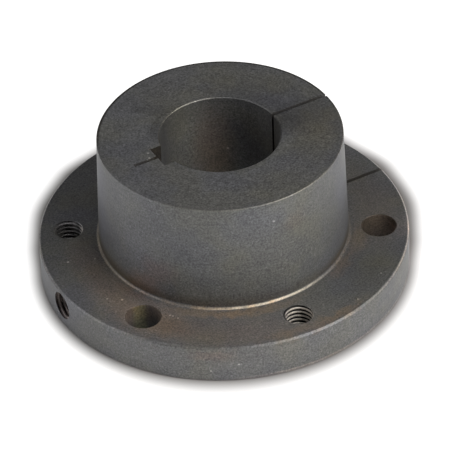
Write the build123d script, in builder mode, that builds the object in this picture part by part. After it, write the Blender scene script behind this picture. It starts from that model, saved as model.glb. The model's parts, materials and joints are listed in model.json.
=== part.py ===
from build123d import *
import os

# Quick disconnect bushing: one turned piece that grips a shaft inside a tapered hub.
# Millimetres. The origin is on the bore's axis, at the flange's back face, and +Z runs
# along the bore to the nose. The saw slit is towards +X and the keyway towards -X.

# Body
length = 50.8
flange_thickness = 13.1
taper_large_dia = 79.4      # across the tapered barrel where it leaves the flange
taper_rate = 1 / 16         # loss of diameter for each millimetre towards the nose
bore_dia = 38.0
barrel_to_hole = 9.5        # from the barrel's root to the middle of a screw hole
hole_to_rim = 9.55          # from there to the flange's edge

# Turned edges
root_fillet = 0.9           # hollow corner between barrel and flange
nose_edge = 0.2
bore_edge = 0.25
flange_face_edge = 0.6
flange_back_edge = 0.5

# Keyway and saw slits
key_width = 9.5
key_depth = 3.3             # from the bore's wall to the keyway's floor, on the centre line
slit_width = 1.2
relief_slit_depth = 8.0     # the short slit's depth, from the keyway's floor outwards

# Screw holes
screws = 3                  # clearance holes, with as many tapped holes between them
clearance_hole_dia = 11.0
clearance_hole_edge = 0.15
tapped_hole_dia = 8.5       # the drilled size that the M10 thread is cut into
tapped_hole_edge = 0.25
tapped_hole_lag = 1.4       # degrees that each tapped hole stands short of the middle
set_screw_hole_dia = 8.5    # drilled through the flange's rim, over the key
set_screw_rise = 0.85       # from the middle of the flange's thickness up to this hole's axis

bore_radius = bore_dia / 2
taper_large_radius = taper_large_dia / 2
bolt_circle_radius = taper_large_radius + barrel_to_hole
flange_radius = bolt_circle_radius + hole_to_rim
nose_radius = taper_large_radius - taper_rate / 2 * (length - flange_thickness)
key_floor = bore_radius + key_depth
relief_slit_end = key_floor + relief_slit_depth
screw_step = 360 / screws
keyway_angle = 180
first_clearance_hole = keyway_angle + screw_step / 4
first_tapped_hole = keyway_angle - screw_step / 4 - tapped_hole_lag
set_screw_height = flange_thickness / 2 + set_screw_rise

with BuildPart() as bushing:
    # Turned body: half of its section, spun round the bore's axis
    with BuildSketch(Plane.XZ) as half_section:
        with BuildLine():
            Polyline(
                (bore_radius, 0),
                (flange_radius, 0),
                (flange_radius, flange_thickness),
                (taper_large_radius, flange_thickness),
                (nose_radius, length),
                (bore_radius, length),
                close=True,
            )
        make_face()
    revolve(axis=Axis.Z)

    turned_edges = bushing.edges().filter_by(GeomType.CIRCLE).group_by(Axis.Z)
    back_bore, back_rim = turned_edges[0].sort_by(SortBy.RADIUS)
    root, face_rim = turned_edges[1].sort_by(SortBy.RADIUS)
    nose_bore, nose_rim = turned_edges[2].sort_by(SortBy.RADIUS)
    fillet(root, root_fillet)
    chamfer(nose_rim, nose_edge)
    chamfer([nose_bore, back_bore], bore_edge)
    chamfer(face_rim, flange_face_edge)
    chamfer(back_rim, flange_back_edge)

    # Screw holes in the flange, clearance and tapped by turns round one circle
    with Locations((0, 0, flange_thickness)):
        with PolarLocations(bolt_circle_radius, screws, start_angle=first_clearance_hole):
            Hole(clearance_hole_dia / 2, flange_thickness)
    clearance_mouths = bushing.edges(Select.LAST).filter_by(GeomType.CIRCLE)
    chamfer(clearance_mouths, clearance_hole_edge)

    with Locations((0, 0, flange_thickness)):
        with PolarLocations(bolt_circle_radius, screws, start_angle=first_tapped_hole):
            Hole(tapped_hole_dia / 2, flange_thickness)
    tapped_mouths = bushing.edges(Select.LAST).filter_by(GeomType.CIRCLE)
    chamfer(tapped_mouths, tapped_hole_edge)

    # Keyway along the whole bore, with the short relief slit in its floor
    with BuildSketch() as keyway:
        with Locations((-key_floor / 2, 0)):
            Rectangle(key_floor, key_width)
        with Locations((-relief_slit_end / 2, 0)):
            Rectangle(relief_slit_end, slit_width)
    extrude(amount=length, mode=Mode.SUBTRACT)

    # Saw slit right through the wall and the flange, which lets the bushing close
    with BuildSketch() as slit:
        with Locations((flange_radius / 2, 0)):
            Rectangle(flange_radius, slit_width)
    extrude(amount=length, mode=Mode.SUBTRACT)

    # Radial hole for the set screw, from the rim to the keyway
    rim_over_key = Plane(origin=(-flange_radius, 0, set_screw_height), z_dir=(-1, 0, 0))
    with Locations(rim_over_key):
        Hole(set_screw_hole_dia / 2, flange_radius - bore_radius)

bushing.part.label = "bushing"

os.makedirs("parts", exist_ok=True)
export_step(bushing.part, "parts/bushing.step")
print("volume", round(bushing.part.volume), "cubic mm, flange", 2 * flange_radius, "mm across")
print("bolt circle", 2 * bolt_circle_radius, "mm, nose", round(2 * nose_radius, 2), "mm across")
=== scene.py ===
import json
import math
import bmesh
import bpy
from mathutils import Matrix, Vector


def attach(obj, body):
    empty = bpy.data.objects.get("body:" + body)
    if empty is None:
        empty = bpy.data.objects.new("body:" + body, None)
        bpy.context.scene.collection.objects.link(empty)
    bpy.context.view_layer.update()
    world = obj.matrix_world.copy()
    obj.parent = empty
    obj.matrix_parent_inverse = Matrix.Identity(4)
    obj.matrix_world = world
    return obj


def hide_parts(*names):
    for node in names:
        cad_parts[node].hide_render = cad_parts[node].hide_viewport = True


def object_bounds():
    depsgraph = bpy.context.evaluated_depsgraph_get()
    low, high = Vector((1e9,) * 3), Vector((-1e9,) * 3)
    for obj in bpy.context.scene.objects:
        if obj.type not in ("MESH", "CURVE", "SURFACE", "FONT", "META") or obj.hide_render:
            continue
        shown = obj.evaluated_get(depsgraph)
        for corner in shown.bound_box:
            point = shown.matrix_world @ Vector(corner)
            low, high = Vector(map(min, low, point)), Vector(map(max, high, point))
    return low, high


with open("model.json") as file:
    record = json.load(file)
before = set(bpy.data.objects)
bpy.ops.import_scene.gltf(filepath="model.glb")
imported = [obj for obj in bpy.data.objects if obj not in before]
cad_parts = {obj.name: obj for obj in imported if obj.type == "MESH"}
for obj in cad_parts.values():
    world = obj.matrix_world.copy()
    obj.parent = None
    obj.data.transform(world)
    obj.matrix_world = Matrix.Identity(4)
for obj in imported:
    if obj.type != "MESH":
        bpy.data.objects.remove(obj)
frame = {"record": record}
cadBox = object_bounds()
mounts = {mount["name"]: mount for mount in frame["record"]["mounts"]}
mm = 0.001
weldDistance = 1e-7                 # metres within which two corners of a mesh are one

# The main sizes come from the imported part, and the rest are set here
flangeRadius = cadBox[1][1]
length = cadBox[1][2]
boreRadius = mounts["bore"]["dims"]["r_mm"] * mm
boltCircle = mounts["clearance_holes"]["dims"]["pcd_mm"] / 2 * mm
clearanceRadius = mounts["clearance_holes"]["dims"]["hole_r_mm"] * mm
tappedRadius = mounts["tapped_holes"]["dims"]["hole_r_mm"] * mm
setScrewRadius = mounts["set_screw_hole"]["dims"]["r_mm"] * mm
setScrewHeight = mounts["set_screw_hole"]["pos_m"][2]
body = {
    "flangeThickness": 13.1 * mm,
    "rootRadius": 39.7 * mm,        # the barrel where it leaves the flange
    "taperRate": 1 / 32,            # loss of radius towards the nose
    "rootFillet": 0.9 * mm,
    "filletSteps": 8,
    "noseEdge": 0.2 * mm,
    "boreEdge": 0.25 * mm,
    "faceEdge": 0.6 * mm,
    "backEdge": 0.5 * mm,
    "softening": 0.07 * mm,         # worn corners at both sides of each broken edge
    "softSteps": 2,
    "turnSteps": 360,
    "sharpAngle": 28.0,             # degrees between two faces from which their edge stays sharp
    "flatWeight": 50,               # how much more a large face counts in its corners' shading
}
cuts = {
    "keyWidth": 9.5 * mm,
    "keyFloor": 22.3 * mm,          # from the axis, as the next two
    "reliefEnd": 30.3 * mm,
    "setScrewThread": 22.0 * mm,    # where the set screw's thread starts
    "slitWidth": 1.2 * mm,
    "holesOfAKind": 3,
    "clearTurn": 210,               # degrees, the bearing of one clearance hole
    "tappedTurn": 150,              # and of the middle between two of them
    "tappedLag": 1.4,               # degrees that a tapped hole stands short of the middle
    "clearanceEdge": 0.15 * mm,
    "tappedEdge": 0.25 * mm,
    "setScrewEdge": 0.2 * mm,
    "holeSteps": 72,
    "past": 2.0 * mm,               # how far a cut runs out into the open
}


def linked(name, data):
    holder = bpy.data.objects.new(name, data)
    bpy.context.scene.collection.objects.link(holder)
    return holder


def meshObject(name, vertices, faces):
    mesh = bpy.data.meshes.new(name)
    mesh.from_pydata([tuple(v) for v in vertices], [], faces)
    work = bmesh.new()
    work.from_mesh(mesh)
    bmesh.ops.remove_doubles(work, verts=work.verts, dist=weldDistance)
    bmesh.ops.recalc_face_normals(work, faces=work.faces)
    work.to_mesh(mesh)
    work.free()
    return linked(name, mesh)


def roundedOutline(corners):
    # each corner is (radius, height, reach of its rounding, steps in its arc)
    points = []
    count = len(corners)
    for i, (radius, height, reach, steps) in enumerate(corners):
        corner = Vector((radius, height))
        before = (Vector(corners[i - 1][:2]) - corner).normalized()
        after = (Vector(corners[(i + 1) % count][:2]) - corner).normalized()
        start, end = corner + before * reach, corner + after * reach
        halfAngle = before.angle(after) / 2
        centre = corner + (before + after).normalized() * (reach / math.cos(halfAngle))
        sweep = (start - centre).angle(end - centre)
        for step in range(steps + 1):
            t = step / steps
            a = math.sin((1 - t) * sweep) / math.sin(sweep)
            b = math.sin(t * sweep) / math.sin(sweep)
            points.append(centre + (start - centre) * a + (end - centre) * b)
    return points


def lathe(name, outline, steps):
    vertices, faces = [], []
    count = len(outline)
    for step in range(steps):
        angle = 2 * math.pi * step / steps
        for radius, height in outline:
            vertices.append((radius * math.cos(angle), radius * math.sin(angle), height))
        for i in range(count):
            j = (i + 1) % count
            k = (step + 1) % steps
            faces.append((step * count + i, step * count + j, k * count + j, k * count + i))
    return meshObject(name, vertices, faces)


def box(name, low, high):
    xs, ys, zs = zip(low, high)
    corners = [(x, y, z) for x in xs for y in ys for z in zs]
    faces = [(0, 1, 3, 2), (4, 6, 7, 5), (0, 4, 5, 1), (2, 3, 7, 6), (0, 2, 6, 4), (1, 5, 7, 3)]
    return meshObject(name, corners, faces)


def holeCutter(name, radius, edge, low, high):
    # a drill with a cone at each mouth, running past both faces
    past = cuts["past"]
    outline = [(0, low - past), (radius + edge + past, low - past), (radius, low + edge),
               (radius, high - edge), (radius + edge + past, high + past), (0, high + past)]
    return lathe(name, outline, cuts["holeSteps"])


thread = {
    "pitch": 1.5 * mm,
    "depth": 0.75 * mm,
    # crest, flank and root of one turn, as shares of the pitch and of the depth
    "profile": [(0, 0), (1 / 4, 0), (9 / 16, 1), (11 / 16, 1)],
    "steps": 72,
}


def tapCutter(name, radius, low, high):
    # a right-hand thread swept up a helix, with a fan of faces to close each end
    pitch, steps, profile = thread["pitch"], thread["steps"], thread["profile"]
    turns = math.ceil((high - low) / pitch)
    points = len(profile)
    vertices, faces = [], []
    for i in range(turns * steps + steps + 1):
        angle = 2 * math.pi * i / steps
        base = low + pitch * i / steps
        for share, rise in profile:
            out = radius + rise * thread["depth"]
            vertices.append((out * math.cos(angle), out * math.sin(angle), base + share * pitch))

    def corner(i, j):
        return (i + steps) * points if j == points else i * points + j

    for i in range(turns * steps):
        for j in range(points):
            faces.append((corner(i, j), corner(i, j + 1), corner(i + 1, j + 1), corner(i + 1, j)))
    for first, height in ((0, low - pitch), (turns * steps, low + pitch * (turns + 2))):
        hub = len(vertices)
        vertices.append((0, 0, height))
        rim = [corner(first + i, 0) for i in range(steps + 1)]
        rim += [corner(first, j) for j in range(points - 1, 0, -1)]
        for here, there in zip(rim, rim[1:] + rim[:1]):
            faces.append((hub, here, there))
    return meshObject(name, vertices, faces)


def carve(piece, cutter):
    cut = piece.modifiers.new("cut", "BOOLEAN")
    cut.operation = "DIFFERENCE"
    cut.solver = "EXACT"
    cut.object = cutter
    carved = piece.evaluated_get(bpy.context.evaluated_depsgraph_get())
    shape = bpy.data.meshes.new_from_object(carved)
    piece.modifiers.clear()
    piece.data = shape
    bpy.data.objects.remove(cutter)


def placed(piece, where):
    piece.data.transform(where)
    return piece


def turnedBody():
    thick, root = body["flangeThickness"], body["rootRadius"]
    nose = root - body["taperRate"] * (length - thick)
    soft = (body["softening"], body["softSteps"])

    def brokenEdge(radius, height, edge, inward, down, upright=False):
        # the two ends of a broken edge, in the order that the outline meets them
        flat = (radius + inward * edge, height, *soft)
        wall = (radius, height + down * edge, *soft)
        return [wall, flat] if upright else [flat, wall]

    corners = brokenEdge(boreRadius, 0, body["boreEdge"], 1, 1, True)
    corners += brokenEdge(flangeRadius, 0, body["backEdge"], -1, 1)
    corners += brokenEdge(flangeRadius, thick, body["faceEdge"], -1, -1, True)
    corners += [(root, thick, body["rootFillet"], body["filletSteps"])]
    corners += brokenEdge(nose, length, body["noseEdge"], -1, -1, True)
    corners += brokenEdge(boreRadius, length, body["boreEdge"], 1, -1)
    return lathe("bushingBody", roundedOutline(corners), body["turnSteps"])


def onBoltCircle(bearing):
    angle = math.radians(bearing)
    return Matrix.Translation((boltCircle * math.cos(angle), boltCircle * math.sin(angle), 0))


def screwHoles(piece):
    thick, past = body["flangeThickness"], cuts["past"]
    for i in range(cuts["holesOfAKind"]):
        turn = 360 / cuts["holesOfAKind"] * i
        clearPlace = onBoltCircle(cuts["clearTurn"] + turn)
        tappedPlace = onBoltCircle(cuts["tappedTurn"] + turn - cuts["tappedLag"])
        drill = holeCutter("clearanceDrill", clearanceRadius, cuts["clearanceEdge"], 0, thick)
        carve(piece, placed(drill, clearPlace))
        tapDrill = holeCutter("tapDrill", tappedRadius, cuts["tappedEdge"], 0, thick)
        carve(piece, placed(tapDrill, tappedPlace))
        tap = tapCutter("tap", tappedRadius, -past, thick + past)
        carve(piece, placed(tap, tappedPlace))


def setScrewHole(piece):
    outwards = Matrix.Rotation(math.radians(-90), 4, "Y")
    outwards = Matrix.Translation((0, 0, setScrewHeight)) @ outwards
    past, edge = cuts["past"], cuts["setScrewEdge"]
    inner, outer = boreRadius - past / 2, flangeRadius
    outline = [(0, inner), (setScrewRadius, inner), (setScrewRadius, outer - edge),
               (setScrewRadius + edge + past, outer + past), (0, outer + past)]
    drill = lathe("setScrewDrill", outline, cuts["holeSteps"])
    carve(piece, placed(drill, outwards))
    tap = tapCutter("setScrewTap", setScrewRadius, cuts["setScrewThread"], outer + past)
    carve(piece, placed(tap, outwards))


def boreCuts(piece):
    past = cuts["past"]
    top = length + past
    halfKey, halfSlit = cuts["keyWidth"] / 2, cuts["slitWidth"] / 2
    carve(piece, box("keyBroach", (-cuts["keyFloor"], -halfKey, -past), (0, halfKey, top)))
    carve(piece, box("reliefSaw", (-cuts["reliefEnd"], -halfSlit, -past), (0, halfSlit, top)))
    carve(piece, box("slitSaw", (0, -halfSlit, -past), (flangeRadius + past, halfSlit, top)))


dents = {
    # x, y and z of each small pit or nick, and its size, in millimetres
    "places": [
        (-48.8, -13.0, 13.1, 0.4),
        (17.6, -52.1, 13.1, 0.35),
        (-22.3, 4.75, 50.8, 0.45),
        (-25.3, 0.6, 50.8, 0.35),
    ],
    "arcSteps": 6,
    "turnSteps": 12,
}


def knocks(piece):
    steps = dents["arcSteps"]
    arc = [math.radians(-90 + 180 * step / steps) for step in range(steps + 1)]
    for x, y, z, size in dents["places"]:
        outline = [(size * math.cos(a) * mm, size * math.sin(a) * mm) for a in arc]
        ball = lathe("knock", outline, dents["turnSteps"])
        carve(piece, placed(ball, Matrix.Translation((x * mm, y * mm, z * mm))))


def smoothTurned(piece):
    mesh = piece.data
    mesh.shade_smooth()
    mesh.set_sharp_from_angle(angle=math.radians(body["sharpAngle"]))
    weighted = piece.modifiers.new("flat faces stay flat", "WEIGHTED_NORMAL")
    weighted.keep_sharp = True
    weighted.mode = "FACE_AREA"
    weighted.weight = body["flatWeight"]


print("turning the body")
bushing = turnedBody()
print("drilling and tapping")
screwHoles(bushing)
setScrewHole(bushing)
print("sawing the slits")
boreCuts(bushing)
knocks(bushing)
smoothTurned(bushing)
print("faces", len(bushing.data.polygons))
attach(bushing, "root")
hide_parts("bushing")


class Nodes:
    # adds nodes to one material's tree
    def __init__(self, tree):
        self.tree = tree

    def add(self, kind, settings=None, out=0, **sockets):
        # a socket is named as Blender does, with _ for a space, or s0, s1 and so on,
        # and out is the name or place of the output that goes on
        made = self.tree.nodes.new(kind)
        for name, value in (settings or {}).items():
            setattr(made, name, value)
        for name, value in sockets.items():
            target = made.inputs[int(name[1:]) if name[1:].isdigit() else name.replace("_", " ")]
            if isinstance(value, Wire):
                self.tree.links.new(value.socket, target)
            else:
                target.default_value = value
        return Wire(self, made.outputs[out])


class Wire:
    # one socket of a tree, so that shader maths can be written as it is on paper
    def __init__(self, nodes, socket):
        self.nodes = nodes
        self.socket = socket

    def maths(self, operation, *values):
        sockets = {"s" + str(i): value for i, value in enumerate(values)}
        return self.nodes.add("ShaderNodeMath", {"operation": operation}, **sockets)

    def __add__(self, other):
        return self.maths("ADD", self, other)

    def __radd__(self, other):
        return self.maths("ADD", other, self)

    def __sub__(self, other):
        return self.maths("SUBTRACT", self, other)

    def __rsub__(self, other):
        return self.maths("SUBTRACT", other, self)

    def __mul__(self, other):
        return self.maths("MULTIPLY", self, other)

    def __rmul__(self, other):
        return self.maths("MULTIPLY", other, self)

    def __truediv__(self, other):
        return self.maths("DIVIDE", self, other)

    def __rtruediv__(self, other):
        return self.maths("DIVIDE", other, self)

    def __abs__(self):
        return self.maths("ABSOLUTE", self)

    def wrapped(self, low, high):
        # moved by whole spans until it lies between low and high
        return self.maths("WRAP", self, high, low)

    def fade(self, low, high):
        # 0 at low, 1 at high, soft between, and low may be the larger
        return self.nodes.add("ShaderNodeMapRange", {"interpolation_type": "SMOOTHSTEP"},
                              Value=self, From_Min=low, From_Max=high)


def newMaterial(name):
    material = bpy.data.materials.new(name)
    material.use_nodes = True
    return material, Nodes(material.node_tree)


def vectorMaths(operation, first, *others, out=0):
    sockets = {"s" + str(i): value for i, value in enumerate((first, *others))}
    return first.nodes.add("ShaderNodeVectorMath", {"operation": operation}, out, **sockets)


def lengthOf(vector):
    return vectorMaths("LENGTH", vector, out="Value")


def greatest(first, *others):
    for other in others:
        first = first.maths("MAXIMUM", first, other)
    return first


def noise(vector, size, detail, out=0):
    # the size is that of one blotch, in the vector's own unit, and output 1 is in colour
    return vector.nodes.add("ShaderNodeTexNoise", None, out,
                            Vector=vector, Scale=1 / size, Detail=detail)


def multiplied(colour, other, amount):
    return colour.nodes.add("ShaderNodeMix", {"data_type": "RGBA", "blend_type": "MULTIPLY"}, 2,
                            s0=amount, s6=colour, s7=other)


tints = {
    "olive": (1.03, 1.0, 0.86),
    "violet": (0.97, 0.97, 1.1),
    "brown": (1.28, 1.07, 0.88),
    "sand": (1.4, 1.2, 0.98),
    "rust": (1.25, 0.93, 0.84),
    "dim": (0.86, 0.86, 0.87),
    "dark": (0.6, 0.59, 0.57),
    # darker and browner: painted shade in the keyway, and a dark ring on the clearance holes'
    # broken edges
    "darkBrown": (0.42, 0.36, 0.3),
    # lighter edges and patches: partly wear, partly painted highlight
    "wearAndHighlight": (1.22, 1.18, 1.1),
    # painted highlight, on the rim's right and on the back edge
    "paintedHighlight": (1.7, 1.56, 1.48),
    "paleOlive": (1.58, 1.64, 1.12),
    # part stain, part painted shade in the corner above the barrel's root
    "tarAndCornerShade": (0.62, 0.52, 0.38),
    # painted shade in the thread's roots
    "threadRootShade": (0.12, 0.12, 0.12),
    "bare": (6.3, 5.95, 5.8),       # cut metal without its oxide, as on the thread's crests
    "chip": (2.6, 2.55, 2.5),
    "speckle": (1.4, 1.42, 1.42),
    # each of the rest is for one place
    # painted light low in the bore
    "paintedBoreLight": (2.0, 2.0, 2.0),
    "sawn": (0.5, 0.47, 0.44),
    "leftHole": (1.0, 0.95, 0.92),
    "rightHole": (1.55, 1.34, 1.2),
    "rightHoleShade": (0.4, 0.4, 0.38),
    # painted light on the outer sides of the other tapped holes
    "litThread": (1.7, 1.64, 1.6),
    "setScrewHole": (2.2, 1.88, 1.7),
    "underEdge": (0.8, 0.55, 0.5),
    "noseShade": (0.28, 0.26, 0.24),
    "rightGlint": (3.0, 2.8, 2.65),
    "leftGlint": (1.9, 1.8, 1.75),
    "fillet": (1.15, 1.07, 0.98),
    # painted highlights on the root fillet, at the front and at both sides
    "filletHighlight": (3.05, 2.92, 2.6),
    "filletSideHighlight": (1.88, 1.8, 1.7),
}


def tinted(colour, tint, amount):
    # the colour times the tint, as far as the amount says
    return multiplied(colour, (*tints[tint], 1), amount)


# From here to the steel's own settings, places are in millimetres and bearings in degrees.
# A pair of numbers is where a mask is 0 and where it is 1.
edges = {
    # radius and height of a turned edge, and the distances from it where its mark is 1 and 0
    "fillet": (39.96, 13.36, 0.28, 0.54),
    "nose": (38.42, 50.7, 0.2, 0.5),
    "wideNose": (38.5, 50.7, 0.5, 1.1),
    "bore": (19.12, 50.68, 0.15, 0.35),
    "face": (58.45, 12.8, 0.35, 0.6),
    "faceLine": (58.6, 12.9, 0.2, 0.45),
    "back": (58.75, 0.95, 0.35, 0.6),
    "under": (58.5, 0.25, 0.3, 0.45),
}
front = -104.0                      # the bearing at which the painted highlight on the barrel's root is brightest


class Surface:
    # where a point of the bushing lies
    def __init__(self, nodes):
        self.nodes = nodes
        local = nodes.add("ShaderNodeTexCoord", out="Object")
        self.place = vectorMaths("MULTIPLY", local, (1 / mm,) * 3)
        self.x = nodes.add("ShaderNodeSeparateXYZ", Vector=self.place)
        self.y = nodes.add("ShaderNodeSeparateXYZ", out=1, Vector=self.place)
        self.height = nodes.add("ShaderNodeSeparateXYZ", out=2, Vector=self.place)
        self.radius = lengthOf(vectorMaths("MULTIPLY", self.place, (1, 1, 0)))
        self.bearing = self.y.maths("ARCTAN2", self.y, self.x) * math.degrees(1)
        self.turnFromFront = self.bearing.wrapped(front - 180.0, front + 180.0) - front
        self.fromFront = abs(self.turnFromFront)

    def edge(self, name):
        # 1 along one turned edge, 0 away from it
        radius, height, near, far = edges[name]
        gap = self.nodes.add("ShaderNodeCombineXYZ", X=self.radius - radius,
                             Y=self.height - height)
        return lengthOf(gap).fade(far, near)

    def towards(self, bearing, far, near):
        # 1 within near degrees of a bearing, 0 beyond far degrees
        return abs(self.bearing - bearing).fade(far, near)

    def fromHoleAxis(self, bearing):
        # distance from the nearest of the screw holes of one kind
        halfStep = 180.0 / cuts["holesOfAKind"]
        angle = (self.bearing - bearing).wrapped(-halfStep, halfStep) * math.radians(1)
        outward = self.radius * angle.maths("COSINE", angle) - boltCircle / mm
        aside = self.radius * angle.maths("SINE", angle)
        return lengthOf(self.nodes.add("ShaderNodeCombineXYZ", X=outward, Y=aside))


unrollMap = {
    "arc": 45.0,                    # millimetres of map for each radian round the axis
    "seam": -235.0,                 # where the unrolled map starts, outside
    "boreSeam": -60.0,              # and in the bore, where the near wall hides it
    "boreEnd": (22.0, 21.5),        # radius at which the bore's map ends
    "ragged": (3.0, 4.0),           # size and detail of the ragged edges
    "raggedness": 6.0,
    "spot": (1.15, 0.2),            # in shares of a stain's reach
}
stainsAndPaintedLight = [
    # Most rows are stains. The dim and dark rows are mostly painted shade, in the bore, on the
    # barrel and on the flange. The two brightest rows on the rim's right are painted highlights,
    # and the worn rows are partly wear and partly painted highlight.
    # tint, bearing, radius and height, reach along the turn and across it, strength
    ("violet", 140.6, 46.5, 13.1, 12, 8, 0.4),
    ("brown", 168.0, 45.5, 13.1, 13, 8, 0.6),
    ("brown", -172.0, 45.0, 13.1, 15, 8, 0.7),
    ("rust", -162.0, 41.5, 13.1, 10, 3, 0.4),
    ("brown", -146.0, 50.0, 13.1, 15, 9, 0.8),
    ("sand", -130.0, 42.0, 13.1, 20, 2.6, 0.9),
    ("sand", -105.0, 42.2, 13.1, 20, 2.6, 1.0),
    ("brown", -118.0, 52.5, 13.1, 26, 6, 0.3),
    ("brown", -158.0, 49.0, 13.1, 22, 10, 0.35),
    ("wearAndHighlight", -161.0, 50.0, 13.1, 12, 7, 0.6),
    ("dim", -141.0, 49.5, 13.1, 7, 5, 1.0),
    ("brown", -120.0, 49.0, 13.1, 34, 12, 0.4),
    ("brown", -93.0, 56.0, 13.1, 15, 3, 0.8),
    ("brown", -78.0, 57.0, 13.1, 9, 2.4, 0.8),
    ("dim", -62.0, 50.0, 13.1, 14, 8, 0.6),
    ("olive", -56.0, 52.0, 13.1, 14, 8, 0.8),
    ("brown", -58.0, 41.8, 13.1, 10, 3, 0.9),
    ("sand", -40.0, 42.8, 13.1, 11, 4, 0.8),
    ("dim", -6.0, 50.0, 13.1, 14, 12, 0.7),
    ("sand", -20.0, 49.0, 13.1, 24, 11, 0.5),
    ("dim", -20.0, 49.0, 13.1, 24, 11, 0.6),
    ("rust", -124.0, 58.7, 10.2, 7, 3, 0.4),
    ("wearAndHighlight", -95.0, 58.7, 6.5, 60, 9, 0.5),
    ("dim", 178.0, 58.7, 7.0, 30, 9, 0.9),
    ("violet", 179.5, 58.7, 8.0, 26, 9, 0.4),
    ("paintedHighlight", -31.5, 58.7, 6.5, 5.5, 9, 0.9),
    ("paintedHighlight", -29.0, 58.7, 6.5, 5, 9, 0.9),
    ("rust", -158.0, 39.5, 17.5, 9, 5, 0.7),
    ("rust", -150.0, 39.3, 24.0, 9, 6, 0.5),
    ("dim", 172.0, 38.9, 34.0, 17, 30, 0.8),
    ("violet", 166.0, 38.9, 34.0, 9, 22, 0.6),
    ("violet", -168.0, 39.2, 28.0, 14, 9, 0.4),
    ("dim", -142.0, 38.9, 38.0, 16, 22, 0.6),
    ("olive", -100.0, 38.9, 28.0, 26, 17, 0.6),
    ("rust", -84.0, 38.8, 41.0, 6, 4, 0.2),
    ("dim", -44.0, 39.0, 33.0, 22, 30, 1.0),
    ("violet", -46.0, 39.0, 33.0, 8, 20, 0.4),
    ("dim", -76.0, 38.9, 34.0, 22, 13, 0.5),
    ("olive", -72.0, 38.6, 40.0, 18, 14, 0.6),
    ("wearAndHighlight", -22.0, 30.0, 50.8, 18, 10, 0.9),
    ("olive", 47.5, 30.0, 50.8, 24, 11, 0.5),
    ("olive", -38.0, 30.0, 50.8, 20, 10, 0.9),
    ("olive", -84.0, 31.0, 50.8, 22, 9, 0.6),
    ("violet", 8.0, 23.5, 50.8, 22, 7, 0.5),
    ("violet", -171.0, 29.5, 50.8, 14, 8, 0.4),
    ("brown", 68.0, 19.0, 31.0, 20, 20, 1.0),
    ("dim", 68.0, 19.0, 31.0, 20, 20, 1.0),
    ("dim", 112.0, 19.0, 36.0, 16, 26, 1.0),
    ("dark", -14.0, 19.0, 44.0, 20, 30, 1.0),
    ("olive", 100.0, 19.0, 38.0, 24, 26, 0.8),
    ("dark", 138.0, 19.0, 36.0, 26, 26, 1.0),
    ("dark", 18.0, 19.0, 42.0, 30, 20, 0.75),
    ("dim", 52.0, 19.0, 46.0, 24, 14, 1.0),
]


def unrolled(surface):
    # the surface in millimetres along the turn, out from the axis and up, with ragged edges
    outside, inBore = unrollMap["seam"], unrollMap["boreSeam"]
    seam = outside + surface.radius.fade(*unrollMap["boreEnd"]) * (inBore - outside)
    along = surface.bearing.wrapped(seam, seam + 360.0) * math.radians(unrollMap["arc"])
    flat = surface.nodes.add("ShaderNodeCombineXYZ", X=along, Y=surface.radius, Z=surface.height)
    wander = noise(surface.place, *unrollMap["ragged"], out=1)
    wander = vectorMaths("SUBTRACT", wander, (0.5,) * 3)
    wander = vectorMaths("MULTIPLY", wander, (unrollMap["raggedness"],) * 3)
    return vectorMaths("ADD", flat, wander)


def stained(colour, surface):
    flat = unrolled(surface)
    for tint, turn, out, up, along, across, amount in stainsAndPaintedLight:
        seam = unrollMap["boreSeam" if out < unrollMap["boreEnd"][0] else "seam"]
        centre = (math.radians((turn - seam) % 360 + seam) * unrollMap["arc"], out, up)
        gap = vectorMaths("SUBTRACT", flat, centre)
        share = vectorMaths("DIVIDE", gap, (along, across, across))
        colour = tinted(colour, tint, lengthOf(share).fade(*unrollMap["spot"]) * amount)
    return colour


walls = {
    "bore": (19.2, 19.1),           # radius
    "paintedBoreLight": 0.036,              # how much paler the painted light makes the bore's wall with each millimetre down
    "boreLit": (92.0, 50.0, 15.0),  # bearing that the light falls on, and the glow's reach
    "boreUnlit": 0.5,               # share of the glow elsewhere
    "bandTop": (18.5, 14.2),        # height
    "bandFoot": (13.95, 14.3),      # height
    "bandRadius": (41.0, 40.0),
    "bandSides": (15.0, 60.0),      # turn away from the front
    "bandDepth": 0.4,
    "bandSideDepth": 0.55,
}


def shadedWalls(colour, surface):
    # painted light low in the bore, brightest on the bearing the light falls on, and a brown band
    # above the barrel's root, part stain and part painted shade, darkest at both sides
    lit = surface.towards(*walls["boreLit"]) * (1 - walls["boreUnlit"]) + walls["boreUnlit"]
    glow = surface.radius.fade(*walls["bore"]) * (length / mm - surface.height)
    colour = tinted(colour, "paintedBoreLight", glow * walls["paintedBoreLight"] * lit)
    # the brown band: part stain, part painted shade in the corner, deeper at both sides
    band = surface.height.fade(*walls["bandTop"]) * surface.height.fade(*walls["bandFoot"])
    band = band * surface.radius.fade(*walls["bandRadius"])
    side = surface.fromFront.fade(*walls["bandSides"])
    return tinted(colour, "tarAndCornerShade", band * (side * walls["bandSideDepth"] + walls["bandDepth"]))


saws = {
    "aside": (0.67, 0.61),          # y, from the middle of both slits
    "slit": (18.5, 19.0),           # x, as the next four
    "flange": (41.0, 43.0),
    "reliefStart": (-22.1, -22.3),
    "reliefEnd": (-30.45, -30.35),
    "keySides": (-15.0, -16.0),
    "keyMouth": (18.95, 19.1),      # radius
    "keyFloor": (23.2, 22.9),       # radius
    "keyTop": (50.78, 50.6),        # height
}


def sawnFaces(surface):
    # 1 on the walls of the slit and the relief slit
    x = surface.x
    relief = x.fade(*saws["reliefStart"]) * x.fade(*saws["reliefEnd"])
    return abs(surface.y).fade(*saws["aside"]) * greatest(x.fade(*saws["slit"]), relief)


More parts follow.
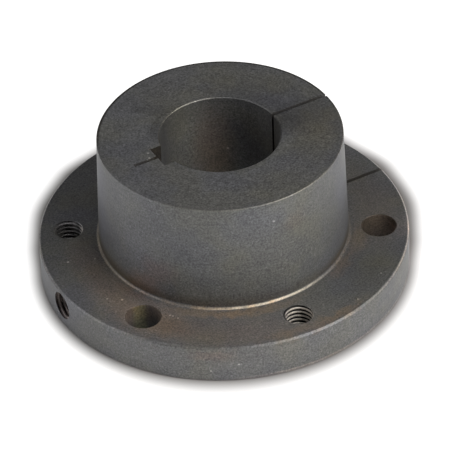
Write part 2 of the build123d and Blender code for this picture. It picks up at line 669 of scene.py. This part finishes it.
def darkCuts(colour, surface, sawn):
    # darker sawn walls, and the keyway darkened and browned as painted shade
    colour = tinted(colour, "sawn", sawn)
    colour = tinted(colour, "dark", sawn * surface.x.fade(*saws["flange"]))
    keyway = surface.radius.fade(*saws["keyMouth"]) * surface.radius.fade(*saws["keyFloor"])
    keyway = keyway * surface.x.fade(*saws["keySides"]) * surface.height.fade(*saws["keyTop"])
    return tinted(colour, "darkBrown", keyway)


holes = {
    # distances from a hole's axis, where no other measure is named
    "below": (13.08, 12.9),         # height, under the flange's face
    "mouth": (12.9, 13.0),          # height, at the broken edges
    "clearWall": (5.7, 5.55),
    "clearMouth": (5.7, 5.64),
    "left": (-30.0, -32.0),         # x
    "right": (30.0, 32.0),          # x
    "rightShade": (51.5, 44.0),     # radius
    "lineAcross": (0.88, -0.47, 0),  # direction across the pale olive line down the left hole's wall
    "linePlace": -27.1,              # where the line is in that direction
    "lineWidth": (3.0, 0.8),
    "speckle": (0.45, 1.0),         # size and detail of the specks beside the left hole
    "speckleLevel": (0.54, 0.62),
    "speckleIn": (5.62, 5.75),
    "speckleOut": (6.6, 5.9),
    "speckleTurn": (-150.0, -145.0),  # bearing from which they reach further out
    "speckleFurther": 2.5,
    "tapWall": (5.3, 5.1),
    "inFront": (-38.0, -40.0),      # y, for the tapped hole in front
    "bareAndLitFront": (-97.0, -94.4),   # bearing of the bare crests there, which are painted only where the light catches them
    "bareAndLit": (46.8, 45.0),          # and their radius in the other tapped holes
    "shadedThread": (48.0, 46.5),          # radius, inward of which the other tapped holes get painted shade
    "crest": (4.62, 4.36),
    "root": (4.42, 4.66),
    # how much painted shade darkens the thread's roots
    "rootShadeDepth": 0.2,
    "shadedRootShadeDepth": 0.8,
    "screwWall": (5.2, 5.05),
    "screwOut": (58.7, 58.3),       # radius
    "screwIn": (-22.4, -23.0),      # x
}


def clearanceHoles(colour, surface):
    # brown walls, a dark ring on the broken edges, and pale specks beside the left hole
    fromAxis = surface.fromHoleAxis(cuts["clearTurn"])
    wall = fromAxis.fade(*holes["clearWall"]) * surface.height.fade(*holes["below"])
    mouth = surface.height.fade(*holes["mouth"])
    left = surface.x.fade(*holes["left"])
    right = surface.x.fade(*holes["right"])
    across = vectorMaths("DOT_PRODUCT", surface.place, holes["lineAcross"], out="Value")
    paleLine = abs(across - holes["linePlace"]).fade(*holes["lineWidth"])
    colour = tinted(colour, "leftHole", wall * left)
    colour = tinted(colour, "paleOlive", wall * left * paleLine)
    colour = tinted(colour, "darkBrown", fromAxis.fade(*holes["clearMouth"]) * mouth)
    colour = tinted(colour, "rightHole", wall * right)
    shade = surface.radius.fade(*holes["rightShade"])
    colour = tinted(colour, "rightHoleShade", wall * right * shade)
    further = surface.bearing.fade(*holes["speckleTurn"]) * holes["speckleFurther"]
    specks = noise(surface.place, *holes["speckle"]).fade(*holes["speckleLevel"]) * left * mouth
    specks = specks * fromAxis.fade(*holes["speckleIn"])
    return tinted(colour, "speckle", specks * (fromAxis - further).fade(*holes["speckleOut"]))


def threadedHoles(colour, surface):
    # bare crests in the thread where the light catches them, partly a painted highlight; painted
    # shade in the roots, over the front hole's wall and on the inner sides of the other tapped
    # holes, and painted light on their outer sides; and a paler wall in the set screw's hole
    fromAxis = surface.fromHoleAxis(cuts["tappedTurn"] - cuts["tappedLag"])
    wall = fromAxis.fade(*holes["tapWall"]) * surface.height.fade(*holes["below"])
    inFront = surface.y.fade(*holes["inFront"])
    bareAndLit = inFront * surface.bearing.fade(*holes["bareAndLitFront"])
    bareAndLit = bareAndLit + (1 - inFront) * surface.radius.fade(*holes["bareAndLit"])
    shadedThread = greatest(inFront, surface.radius.fade(*holes["shadedThread"]))
    rootShadeDepth = shadedThread * holes["shadedRootShadeDepth"] + holes["rootShadeDepth"]
    colour = tinted(colour, "dark", wall * shadedThread)
    colour = tinted(colour, "bare", wall * bareAndLit * fromAxis.fade(*holes["crest"]))
    colour = tinted(colour, "threadRootShade", wall * fromAxis.fade(*holes["root"]) * rootShadeDepth)
    colour = tinted(colour, "litThread", wall * (1 - shadedThread))
    fromScrew = surface.nodes.add("ShaderNodeCombineXYZ", X=surface.y,
                                  Y=surface.height - setScrewHeight / mm)
    wall = lengthOf(fromScrew).fade(*holes["screwWall"]) * surface.radius.fade(*holes["screwOut"])
    return tinted(colour, "setScrewHole", wall * surface.x.fade(*holes["screwIn"]))


# bearings and turns at which the wear, the painted highlights and the painted shade lie
wearAndLightTurns = {
    # turn away from the front, where no other measure is named
    "nose": (110.0, 80.0),
    "noseGrowth": (-70.0, 30.0),    # the same turn, with its sign
    "face": (-38.0, 14.0, 6.0),     # bearing, and how far from it the wear and painted highlight end and are full
    "faceRest": 0.1,                # share of them elsewhere
    "bore": (55.0, 75.0),           # bearing
    "back": (-62.0, 60.0, 35.0),    # bearing and reach, as the next two
    "rightGlint": (-15.0, 60.0, 25.0),
    "leftGlint": (148.0, 35.0, 15.0),
    "noseShade": (85.0, 115.0),
    "filletHighlight": (40.0, 4.0),
    "filletSideHighlight": (78.0, 98.0),
}
flecks = [
    # small bright chips: x, y, z and size
    (11.0, 15.5, 30.8, 0.45), (17.9, -52.5, 13.1, 0.5), (-35.4, -28.4, 13.1, 0.35),
    (-34.7, -29.2, 13.1, 0.4), (-33.9, -30.9, 13.1, 0.35), (-25.1, -53.1, 6.5, 0.4),
    (-32.7, -48.8, 4.1, 0.35), (-23.7, 3.4, 50.8, 0.5), (-24.6, 0.9, 50.8, 0.5),
    (-49.9, 11.4, 13.1, 0.5), (-41.9, 8.4, 13.1, 0.4), (-44.3, -13.9, 13.1, 0.5),
    (-48.1, -11.1, 13.1, 0.4), (30.7, -45.3, 13.1, 0.4), (-3.2, -38.6, 43.6, 0.55),
]
fleckCore = 0.5                     # share of a chip's size that is fully bright


def rubbedEdges(surface):
    # 1 where the edges of nose, flange and bore are painted bright, partly as wear and partly as
    # painted highlights at the bearings where the light catches them
    nose = surface.edge("nose") * surface.fromFront.fade(*wearAndLightTurns["nose"])
    nose = nose * surface.turnFromFront.fade(*wearAndLightTurns["noseGrowth"])
    face = surface.edge("face") * (surface.towards(*wearAndLightTurns["face"]) + wearAndLightTurns["faceRest"])
    bore = surface.edge("bore") * surface.bearing.fade(*wearAndLightTurns["bore"])
    return greatest(nose, face, bore)


def brightEdges(colour, surface, wornAndLit):
    # wear and painted highlights on the nose, face and bore edges; a painted highlight on the back
    # edge on the right; a darker reddish line on the bottom edge; painted shade on the nose's far
    # edge; painted highlights along the face edge at two bearings; and on the root fillet a
    # lighter polished strip with painted highlights at the front and both sides
    colour = tinted(colour, "wearAndHighlight", wornAndLit)
    colour = tinted(colour, "paintedHighlight", surface.edge("back") * surface.towards(*wearAndLightTurns["back"]))
    colour = tinted(colour, "underEdge", surface.edge("under"))
    farNose = surface.edge("wideNose") * surface.fromFront.fade(*wearAndLightTurns["noseShade"])
    colour = tinted(colour, "noseShade", farNose)
    line = surface.edge("faceLine")
    for side in ("rightGlint", "leftGlint"):
        colour = tinted(colour, side, line * surface.towards(*wearAndLightTurns[side]))
    fillet = surface.edge("fillet")
    colour = tinted(colour, "fillet", fillet)
    for part in ("filletHighlight", "filletSideHighlight"):
        colour = tinted(colour, part, fillet * surface.fromFront.fade(*wearAndLightTurns[part]))
    return colour


def chipped(colour, surface):
    for *chip, size in flecks:
        gap = vectorMaths("DISTANCE", surface.place, tuple(chip), out="Value")
        colour = tinted(colour, "chip", gap.fade(size, size * fleckCore))
    return colour


steel = {
    "oxide": (0.118, 0.118, 0.119),
    "hue": (14.0, 2.0),             # size and detail of the noise, as the next five
    "cloud": (7.0, 3.0),
    "grain": (0.55, 3.0),
    "speck": (1.1, 1.0),
    "streak": (0.5, 1.0),
    "streakLength": 40.0,           # degrees round the axis that count as one millimetre
    "oliveHue": (0.47, 0.62),
    "oliveDepth": 0.5,
    "violetHue": (0.48, 0.36),
    "violetDepth": 0.25,
    "cloudDepth": 0.32,
    "grainDepth": 1.9,
    "speckLevel": (0.66, 0.74),
    "speckGlow": 0.22,
    "streakDepth": 0.3,
    "metallic": 0.5,
    "sawnMetallic": 0.1,
    "roughness": 0.5,
    "grainRoughness": 0.2,
    "rubbedSmoothness": 0.08,
    "bumpStrength": 0.25,
    "bumpDistance": 0.06 * mm,
}


def oxideColour(surface):
    # soft clouds of colour, from bluish through neutral to olive
    oxide = surface.nodes.add("ShaderNodeRGB")
    oxide.socket.default_value = (*steel["oxide"], 1)
    hue = noise(surface.place, *steel["hue"])
    colour = tinted(oxide, "olive", hue.fade(*steel["oliveHue"]) * steel["oliveDepth"])
    return tinted(colour, "violet", hue.fade(*steel["violetHue"]) * steel["violetDepth"])


def brightness(surface, grain):
    # grain, turning marks, clouds and scattered pale specks, from noise that lies about 0.5
    clouds = noise(surface.place, *steel["cloud"])
    turned = surface.nodes.add("ShaderNodeCombineXYZ", X=surface.radius, Y=surface.height,
                               Z=surface.bearing / steel["streakLength"])
    streaks = noise(turned, *steel["streak"])
    specks = noise(surface.place, *steel["speck"]).fade(*steel["speckLevel"])
    shade = 1 + (grain - 0.5) * steel["grainDepth"] + (clouds - 0.5) * steel["cloudDepth"]
    return shade + (streaks - 0.5) * steel["streakDepth"] + specks * steel["speckGlow"]


def steelMaterial():
    material, nodes = newMaterial("oxideSteel")
    surface = Surface(nodes)
    sawn = sawnFaces(surface)
    wornAndLit = rubbedEdges(surface)
    grain = noise(surface.place, *steel["grain"])
    colour = stained(oxideColour(surface), surface)
    colour = shadedWalls(colour, surface)
    colour = darkCuts(colour, surface, sawn)
    colour = clearanceHoles(colour, surface)
    colour = threadedHoles(colour, surface)
    colour = brightEdges(colour, surface, wornAndLit)
    colour = chipped(colour, surface)
    shade = brightness(surface, grain)
    grey = nodes.add("ShaderNodeCombineColor", Red=shade, Green=shade, Blue=shade)
    roughness = steel["roughness"] + (grain - 0.5) * steel["grainRoughness"]
    wires = {
        "Base Color": multiplied(colour, grey, 1.0),
        "Roughness": roughness - wornAndLit * steel["rubbedSmoothness"],
        "Metallic": steel["metallic"] - sawn * (steel["metallic"] - steel["sawnMetallic"]),
        "Normal": nodes.add("ShaderNodeBump", Strength=steel["bumpStrength"],
                            Distance=steel["bumpDistance"], Height=grain),
    }
    shader = material.node_tree.nodes["Principled BSDF"]
    for name, wire in wires.items():
        nodes.tree.links.new(wire.socket, shader.inputs[name])
    return material


print("painting the steel")
bushing.data.materials.append(steelMaterial())

ground = {
    "halfWidth": 30.0,
    "albedo": 0.85,
    "glossyGlow": 0.36,             # how bright the white floor is in the steel's reflections
    "paintedShadow": (0.215, 0.202, 0.193),  # the grey of the painted shadow on the floor beside the bushing
    "lean": -29.8,                  # degrees from +Y to the way that the painted shadow reaches out
    "behind": 19.4 * mm,            # how far it reaches out that way
    "sides": 1.3 * mm,              # how much wider it is at both sides
    "sideShare": (0.4, 0.1),        # from 0 straight beside the flange to 1 straight behind it
    "sideStart": (-5 * mm, 10 * mm),
    "nearBarrel": 2.2 * mm,         # how much it draws in again where it goes behind the barrel
    "barrelShare": (0.45, 0.7),     # counted as sideShare is
    "barrelStart": (0.0, 5 * mm),
    "squash": 0.38,                 # share by which it is wider in front and behind than aside
    "edge": (-1.2 * mm, 5.1 * mm),
}


def floorGap(nodes):
    # distance past the flange's outline, drawn out on the side where the painted shadow lies
    place = nodes.add("ShaderNodeTexCoord", out="Object")
    turned = nodes.add("ShaderNodeVectorRotate", {"rotation_type": "Z_AXIS"}, Vector=place,
                       Angle=-math.radians(ground["lean"]))
    sideways = nodes.add("ShaderNodeSeparateXYZ", Vector=turned)
    away = nodes.add("ShaderNodeSeparateXYZ", out=1, Vector=turned)
    past = away - away.maths("MINIMUM", away.maths("MAXIMUM", away, 0.0), ground["behind"])
    reach = lengthOf(nodes.add("ShaderNodeCombineXYZ", X=sideways, Y=past))
    share = abs(past) / reach
    gap = (reach - flangeRadius) * (1 - share * share * ground["squash"])
    beside = share.fade(*ground["sideShare"]) * away.fade(*ground["sideStart"])
    behind = share.fade(*ground["barrelShare"]) * past.fade(*ground["barrelStart"])
    return gap - beside * ground["sides"] + behind * ground["nearBarrel"]


def floorMaterial():
    # white in the open, and a soft painted shadow under and behind the bushing, in which the lit
    # floor's own shadows show
    material, nodes = newMaterial("paleFloor")
    nodes.tree.nodes.remove(nodes.tree.nodes["Principled BSDF"])
    white = floorGap(nodes).fade(*ground["edge"])
    seen = nodes.add("ShaderNodeLightPath", out="Is Camera Ray")
    glossy = nodes.add("ShaderNodeLightPath", out="Is Glossy Ray")
    through = nodes.add("ShaderNodeLightPath", out="Is Transmission Ray")
    plainWhite = (ground["albedo"],) * 3
    colour = nodes.add("ShaderNodeMix", {"data_type": "RGBA"}, 2,
                       s0=seen, s6=(*plainWhite, 1), s7=(*ground["paintedShadow"], 1))
    lit = nodes.add("ShaderNodeBsdfDiffuse", Color=colour)
    glow = white * (seen + through + glossy * ground["glossyGlow"])
    both = nodes.add("ShaderNodeAddShader", s0=lit,
                     s1=nodes.add("ShaderNodeEmission", Strength=glow))
    nodes.tree.links.new(both.socket, nodes.tree.nodes["Material Output"].inputs["Surface"])
    return material


def makeFloor():
    half = ground["halfWidth"]
    corners = [(-half, -half, 0), (half, -half, 0), (half, half, 0), (-half, half, 0)]
    made = meshObject("floor", corners, [(0, 1, 2, 3)])
    made.data.materials.append(floorMaterial())
    return made


print("laying the floor")
floor = makeFloor()

studio = {
    "lampDistance": 1.2,
    "lampSize": 0.7,
    "lamps": {                      # azimuth and elevation in degrees, power in watts
        "keyLight": (20, 45, 7.9),
        "sideKey": (45, 35, 7.2),
        "leftFill": (-110, 25, 6.2),
        "topFill": (0, 89, 3.4),
        "lowFill": (20, 15, 1.9),
    },
    "worldStrength": 0.0,
}


def facing(azimuth, elevation):
    # the turn that makes a lamp or camera look at the origin from that side
    aside = Matrix.Rotation(math.radians(azimuth), 4, "Z")
    return aside @ Matrix.Rotation(math.radians(90 - elevation), 4, "X")


def areaLight(name, azimuth, elevation, power):
    lamp = bpy.data.lights.new(name, "AREA")
    lamp.shape = "SQUARE"
    lamp.size = studio["lampSize"]
    lamp.energy = power
    back = Matrix.Translation((0, 0, studio["lampDistance"]))
    linked(name, lamp).matrix_world = facing(azimuth, elevation) @ back


def darkWorld():
    # the lamps and the white floor give all the light
    world = bpy.data.worlds.new("studio")
    world.use_nodes = True
    strength = world.node_tree.nodes["Background"].inputs["Strength"]
    strength.default_value = studio["worldStrength"]
    bpy.context.scene.world = world


view = {
    "azimuth": -28.216,
    "elevation": 38.52,
    "roll": -2.366,
    "distance": 1.2557,
    "aimUp": 0.01142,
    "aimRight": -0.00004,
    "focalPixels": 3934.5,
    "framePixels": 450,
    "sensor": 36.0,
    "clipEnd": 100.0,
}


def makeCamera():
    lens = bpy.data.cameras.new("camera")
    lens.sensor_width = view["sensor"]
    lens.lens = view["focalPixels"] / view["framePixels"] * view["sensor"]
    lens.clip_end = view["clipEnd"]
    roll = Matrix.Rotation(math.radians(view["roll"]), 4, "Z")
    back = Matrix.Translation((view["aimRight"], view["aimUp"], view["distance"]))
    camera = linked("camera", lens)
    camera.matrix_world = facing(view["azimuth"], view["elevation"]) @ roll @ back
    bpy.context.scene.camera = camera


print("setting lamps and camera")
for lampName, (azimuth, elevation, power) in studio["lamps"].items():
    areaLight(lampName, azimuth, elevation, power)
darkWorld()
makeCamera()
bpy.context.scene.view_settings.view_transform = "Standard"
